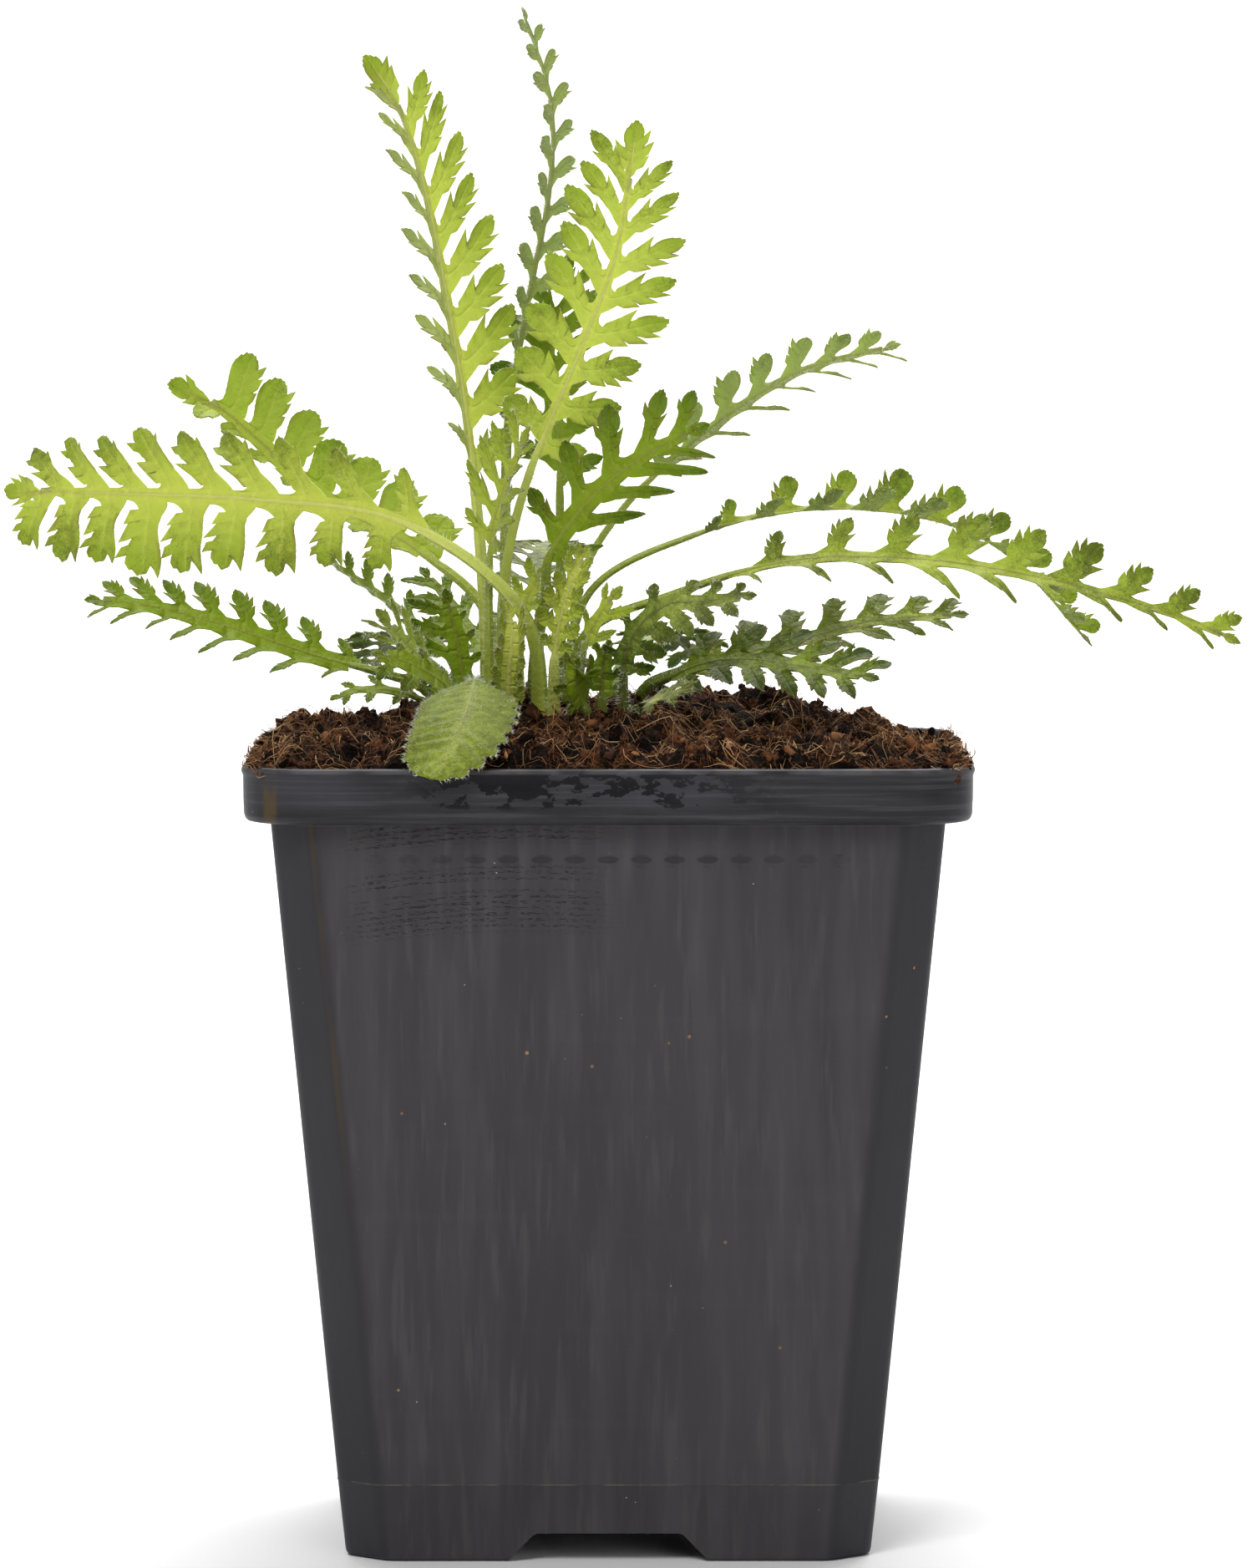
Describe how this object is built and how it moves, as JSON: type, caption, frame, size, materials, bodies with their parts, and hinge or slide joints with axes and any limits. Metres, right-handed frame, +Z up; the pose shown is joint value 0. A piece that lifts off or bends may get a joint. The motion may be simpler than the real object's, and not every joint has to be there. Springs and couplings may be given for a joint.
{
  "type": "potted fernleaf yarrow plant",
  "caption": "Young rosette of fern-like toothed leaves growing from dark peat soil in a tapered square dark grey plastic nursery pot.",
  "frame": {"origin": "middle of the pot's base, on the surface that the pot stands on", "axes": "+Z up, -Y towards the front, +X to the right seen from the front"},
  "size_m": [0.1978, 0.1206, 0.2379],
  "materials": {
    "pot": "dark grey moulded plastic with a soft sheen, faint scuffs and soil stains",
    "soil": "rough moist dark brown peat with fibres",
    "crown": "rough brown rootstock with old leaf bases",
    "leaf_bright": "soft hairy yellow-green leaf, lit through",
    "leaf_mid": "soft hairy mid green leaf",
    "leaf_dark": "soft hairy dark green leaf",
    "leaf_silver": "grey-green leaf under dense silvery hairs"
  },
  "bodies": {
    "root": {"crown": "crown", "frond_back_centre": "leaf_mid", "frond_back_left": "leaf_dark", "frond_back_low_left": "leaf_mid", "frond_back_low_right": "leaf_dark", "frond_back_right": "leaf_dark", "frond_centre_folded": "leaf_mid", "frond_centre_front": "leaf_dark", "frond_centre_tall": "leaf_silver", "frond_ground_dark": "leaf_dark", "frond_ground_right": "leaf_mid", "frond_ground_silver": "leaf_silver", "frond_left_curled": "leaf_silver", "frond_left_dark": "leaf_dark", "frond_left_fan": "leaf_silver", "frond_left_folded": "leaf_dark", "frond_left_ground": "leaf_dark", "frond_left_high": "leaf_mid", "frond_left_long": "leaf_bright", "frond_left_low": "leaf_dark", "frond_left_tall": "leaf_bright", "frond_right_arch_high": "leaf_mid", "frond_right_arch_low": "leaf_mid", "frond_right_diagonal": "leaf_mid", "frond_right_tall": "leaf_bright", "frond_round_centre": "leaf_dark", "frond_round_right": "leaf_mid", "frond_small_front": "leaf_bright", "frond_young_back": "leaf_mid", "frond_young_bright": "leaf_bright", "frond_young_fork": "leaf_bright", "frond_young_right": "leaf_bright", "leaf_hang_front": "leaf_mid", "pot": "pot", "soil": "soil"}
  },
  "joints": []
}
